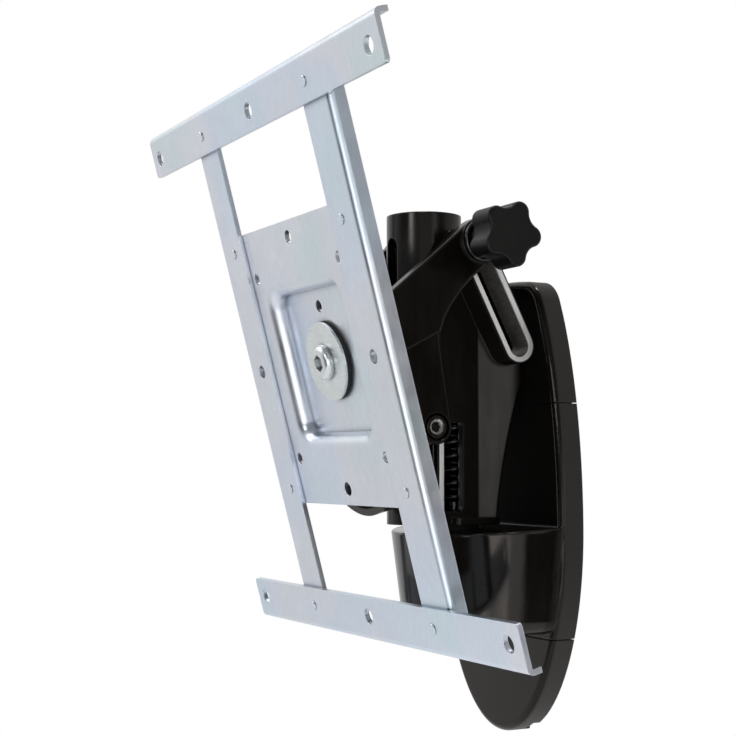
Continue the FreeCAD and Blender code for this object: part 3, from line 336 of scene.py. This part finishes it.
def yoke_black(name):
    """Gloss black of the column, worn down to grey metal on the running faces of its slots."""
    shader = glossy_black(name, **CASTING_GLOSS)
    upper, lower, reach = slot_line()
    outwards = shader.combined("ABSOLUTE", shader.split(shader.place)["X"])
    boss_inner = reach - BOSS_DEPTH
    in_boss = shader.spread(outwards, 0.0, 1.0, boss_inner, boss_inner + 0.001)
    in_slot = shader.spread(shader.apart(upper, lower), 1.0, 0.0, SLOT_R + 0.0001, SLOT_R + 0.0002)
    scuffs = shader.spread(shader.noise(1.0, 4.0, shader.stretched((200.0, 900.0, 900.0))), 0.55, 1.0)
    lighter_patch = shader.combined("MULTIPLY", shader.combined("MULTIPLY", in_boss, in_slot), scuffs)
    shader.set(
        Base_Color=shader.mixed(lighter_patch, shader.tint, (0.3, 0.28, 0.27)),
        Metallic=shader.combined("MULTIPLY", lighter_patch, 0.8),
        Roughness=shader.combined("MAXIMUM", shader.gloss, shader.combined("MULTIPLY", lighter_patch, 0.5)),
    )
    return shader


def rim_metal(name):
    """Bare machined rim of the slots, with paint round its outer edge."""
    shader = turned(name, RIM_TONE, rough=0.5, metallic=0.5)
    upper, lower, _ = slot_line()
    painted = shader.spread(shader.apart(upper, lower), 0.0, 1.0, RIM_R - 0.0008, RIM_R - 0.0004)
    shader.set(Base_Color=shader.mixed(painted, shader.tint, (0.006, 0.0055, 0.005)))
    return shader


def socket_painted_highlight(name):
    """Black bolt, with a painted highlight: a pale ring round its socket standing in for light on the socket's
    chamfer.
    """
    shader = turned(name, (0.035, 0.034, 0.033), rough=0.26)
    near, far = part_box("pivot_bolt")
    axis = Vector((0.0, (near[1] + far[1]) / 2, (near[2] + far[2]) / 2))
    # A line so short that the distance from it is the distance from the bolt's axis
    from_axis = shader.apart(axis, axis + Vector((0.0, 0.0, 0.00001)))
    inner = shader.spread(from_axis, 0.0, 1.0, *SOCKET_HIGHLIGHT_IN)
    outer = shader.spread(from_axis, 1.0, 0.0, *SOCKET_HIGHLIGHT_OUT)
    # Painted highlight: the ring round the socket that is given a pale colour
    lighter_patch = shader.combined("MULTIPLY", inner, outer)
    shader.set(Base_Color=shader.mixed(lighter_patch, shader.tint, (0.62, 0.58, 0.55)))
    return shader


def satin_black(name, tone, rough, grain):
    """Moulded or painted satin black with a fine spark-eroded grain and worn edges."""
    shader = Shader(name)
    patches = shader.noise(55.0)
    shade = shader.mixed(shader.spread(patches, 0.0, 1.0), tone, scaled(tone, 2.2))
    shader.set(
        Base_Color=shader.worn_edges(shade, scaled(tone, 4.0), 0.54, 0.62),
        Roughness=shader.spread(patches, rough - 0.05, rough + 0.08),
        Specular_IOR_Level=0.2,
        Specular_Tint=(1.0, 0.95, 0.91, 1.0),
        Normal=shader.bump(shader.noise(1600.0), grain, 0.00008, shader.edges(0.0004)),
    )
    return shader


def wound(name, tone):
    """Dark spring wire with an oily film."""
    shader = Shader(name)
    film = shader.noise(300.0, 4.0)
    shader.set(
        Metallic=1.0,
        Base_Color=shader.ramp(film, ((0.3, tone), (0.7, scaled(tone, 1.8)))),
        Roughness=shader.spread(film, 0.24, 0.4),
        Normal=shader.bump(shader.noise(1500.0), 0.08, 0.00004),
    )
    return shader


def dress_nodes():
    """Give every CAD node the finish of its slot, or its own where the photograph shows another."""
    of_slot = {
        "zinc": plated("zinc", ZINC_TINTS, rough=0.33, grain=0.14),
        "rivet": plated("rivet", ZINC_TINTS, rough=0.26, grain=0.1),
        "steel": turned("steel", (0.7, 0.74, 0.75), rough=0.3),
        "bare_rim": turned("bare_rim", RIM_TONE, rough=0.46),
        "black_cover": base_black("black_cover"),
        "black_casting": glossy_black("black_casting", **CASTING_GLOSS),
        "dark_bolt": turned("dark_bolt", (0.1, 0.098, 0.095), rough=0.26),
        "friction": satin_black("friction", (0.006, 0.006, 0.006), rough=0.6, grain=0.2),
        "knob": satin_black("knob", (0.0045, 0.0045, 0.0045), rough=0.38, grain=0.16),
        "insert": turned("insert", (0.62, 0.46, 0.22), rough=0.3),
    }
    black_oxide = turned("black_oxide", (0.06, 0.06, 0.06), rough=0.16)
    slot_rim = rim_metal("slot_rim")
    of_node = {
        "lift_spring": wound("spring_wire", (0.05, 0.05, 0.055)),
        "yoke": yoke_black("yoke_black"),
        # Pivot bolt with a painted highlight ring round its socket
        "pivot_bolt": socket_painted_highlight("bolt_painted_highlight"),
        "slot_liner_right": slot_rim,
        "slot_liner_left": slot_rim,
        "clamp_washer_right": black_oxide,
        "clamp_washer_left": black_oxide,
        "swivel_pin": black_oxide,
    }
    for subpart in frame["record"]["subparts"]:
        finish = of_node.get(subpart["node"], of_slot[subpart["material_slot"]])
        materials = nodes[subpart["node"]].data.materials
        materials.clear()
        materials.append(finish.material)


def add_spring():
    """The spring as a piece of its own, carried by the yoke."""
    spring = bpy.data.objects.new("counter_spring", nodes["lift_spring"].data.copy())
    bpy.context.scene.collection.objects.link(spring)
    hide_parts("lift_spring")
    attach(spring, "yoke")
    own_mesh(spring)


def set_world():
    """White background; the object mirrors a studio of pale boards and dark gaps, by bearing and height."""
    world = bpy.data.worlds.new("studio")
    bpy.context.scene.world = world
    world.use_nodes = True
    graph = Graph(world.node_tree)
    direction = graph.split(graph.add("ShaderNodeTexCoord").outputs["Generated"])
    towards_room = graph.combined("MULTIPLY", direction["Y"], -1.0)
    bearing = graph.spread(graph.combined("ARCTAN2", direction["X"], towards_room), 0.0, 1.0, -pi, pi)

    def boards(levels):
        stops = [((degrees + 180.0) / 360.0, (level,) * 3) for degrees, level in levels]
        return graph.ramp(bearing, stops, "EASE")

    def above(heights):
        return graph.spread(direction["Z"], 0.0, 1.0, *heights, "SMOOTHSTEP")

    studio = graph.mixed(above(LOW_TO_LEVEL), boards(LOW_BOARDS), boards(LEVEL_BOARDS))
    studio = graph.mixed(above(LEVEL_TO_HIGH), studio, boards(HIGH_BOARDS))
    rays = graph.add("ShaderNodeLightPath").outputs
    background = graph.found("BACKGROUND")
    graph.put(graph.mixed(rays["Is Glossy Ray"], (1.0, 1.0, 1.0), studio), background.inputs["Color"])
    graph.put(graph.backdrop(0.45, 1.0, 1.0), background.inputs["Strength"])


def add_floor(height):
    bpy.ops.mesh.primitive_plane_add(size=2.0, location=(0.0, 0.0, height))
    floor = bpy.context.object
    floor.name = "floor"
    shader = Shader("floor")
    shader.set(
        Base_Color=(0.85, 0.85, 0.85, 1.0),
        Roughness=0.9,
        Emission_Color=(1.0, 1.0, 1.0, 1.0),
        Emission_Strength=shader.backdrop(0.0, 0.3, 0.6),
    )
    floor.data.materials.append(shader.material)


def add_lamp(name, place, target, size, power):
    data = bpy.data.lights.new(name, "AREA")
    data.shape = "DISK"
    data.size = size
    data.energy = power
    lamp = bpy.data.objects.new(name, data)
    lamp.location = place
    direction = Vector(target) - Vector(place)
    lamp.rotation_euler = direction.to_track_quat("-Z", "Y").to_euler()
    bpy.context.scene.collection.objects.link(lamp)


def add_camera():
    """Camera at the photograph's angle, fitted to the hole patterns of the display frame."""
    data = bpy.data.cameras.new("camera")
    data.sensor_width = 36.0
    data.lens = 72.34
    camera = bpy.data.objects.new("camera", data)
    camera.location = (0.51471, -0.33485, 0.02476)
    camera.rotation_euler = (radians(93.68), 0.0, radians(62.71))
    bpy.context.scene.collection.objects.link(camera)
    bpy.context.scene.camera = camera


dress_nodes()
add_spring()
set_world()
add_floor(-0.5)
for lamp in LAMPS:
    add_lamp(*lamp)
add_camera()
bpy.context.scene.view_settings.view_transform = "Standard"
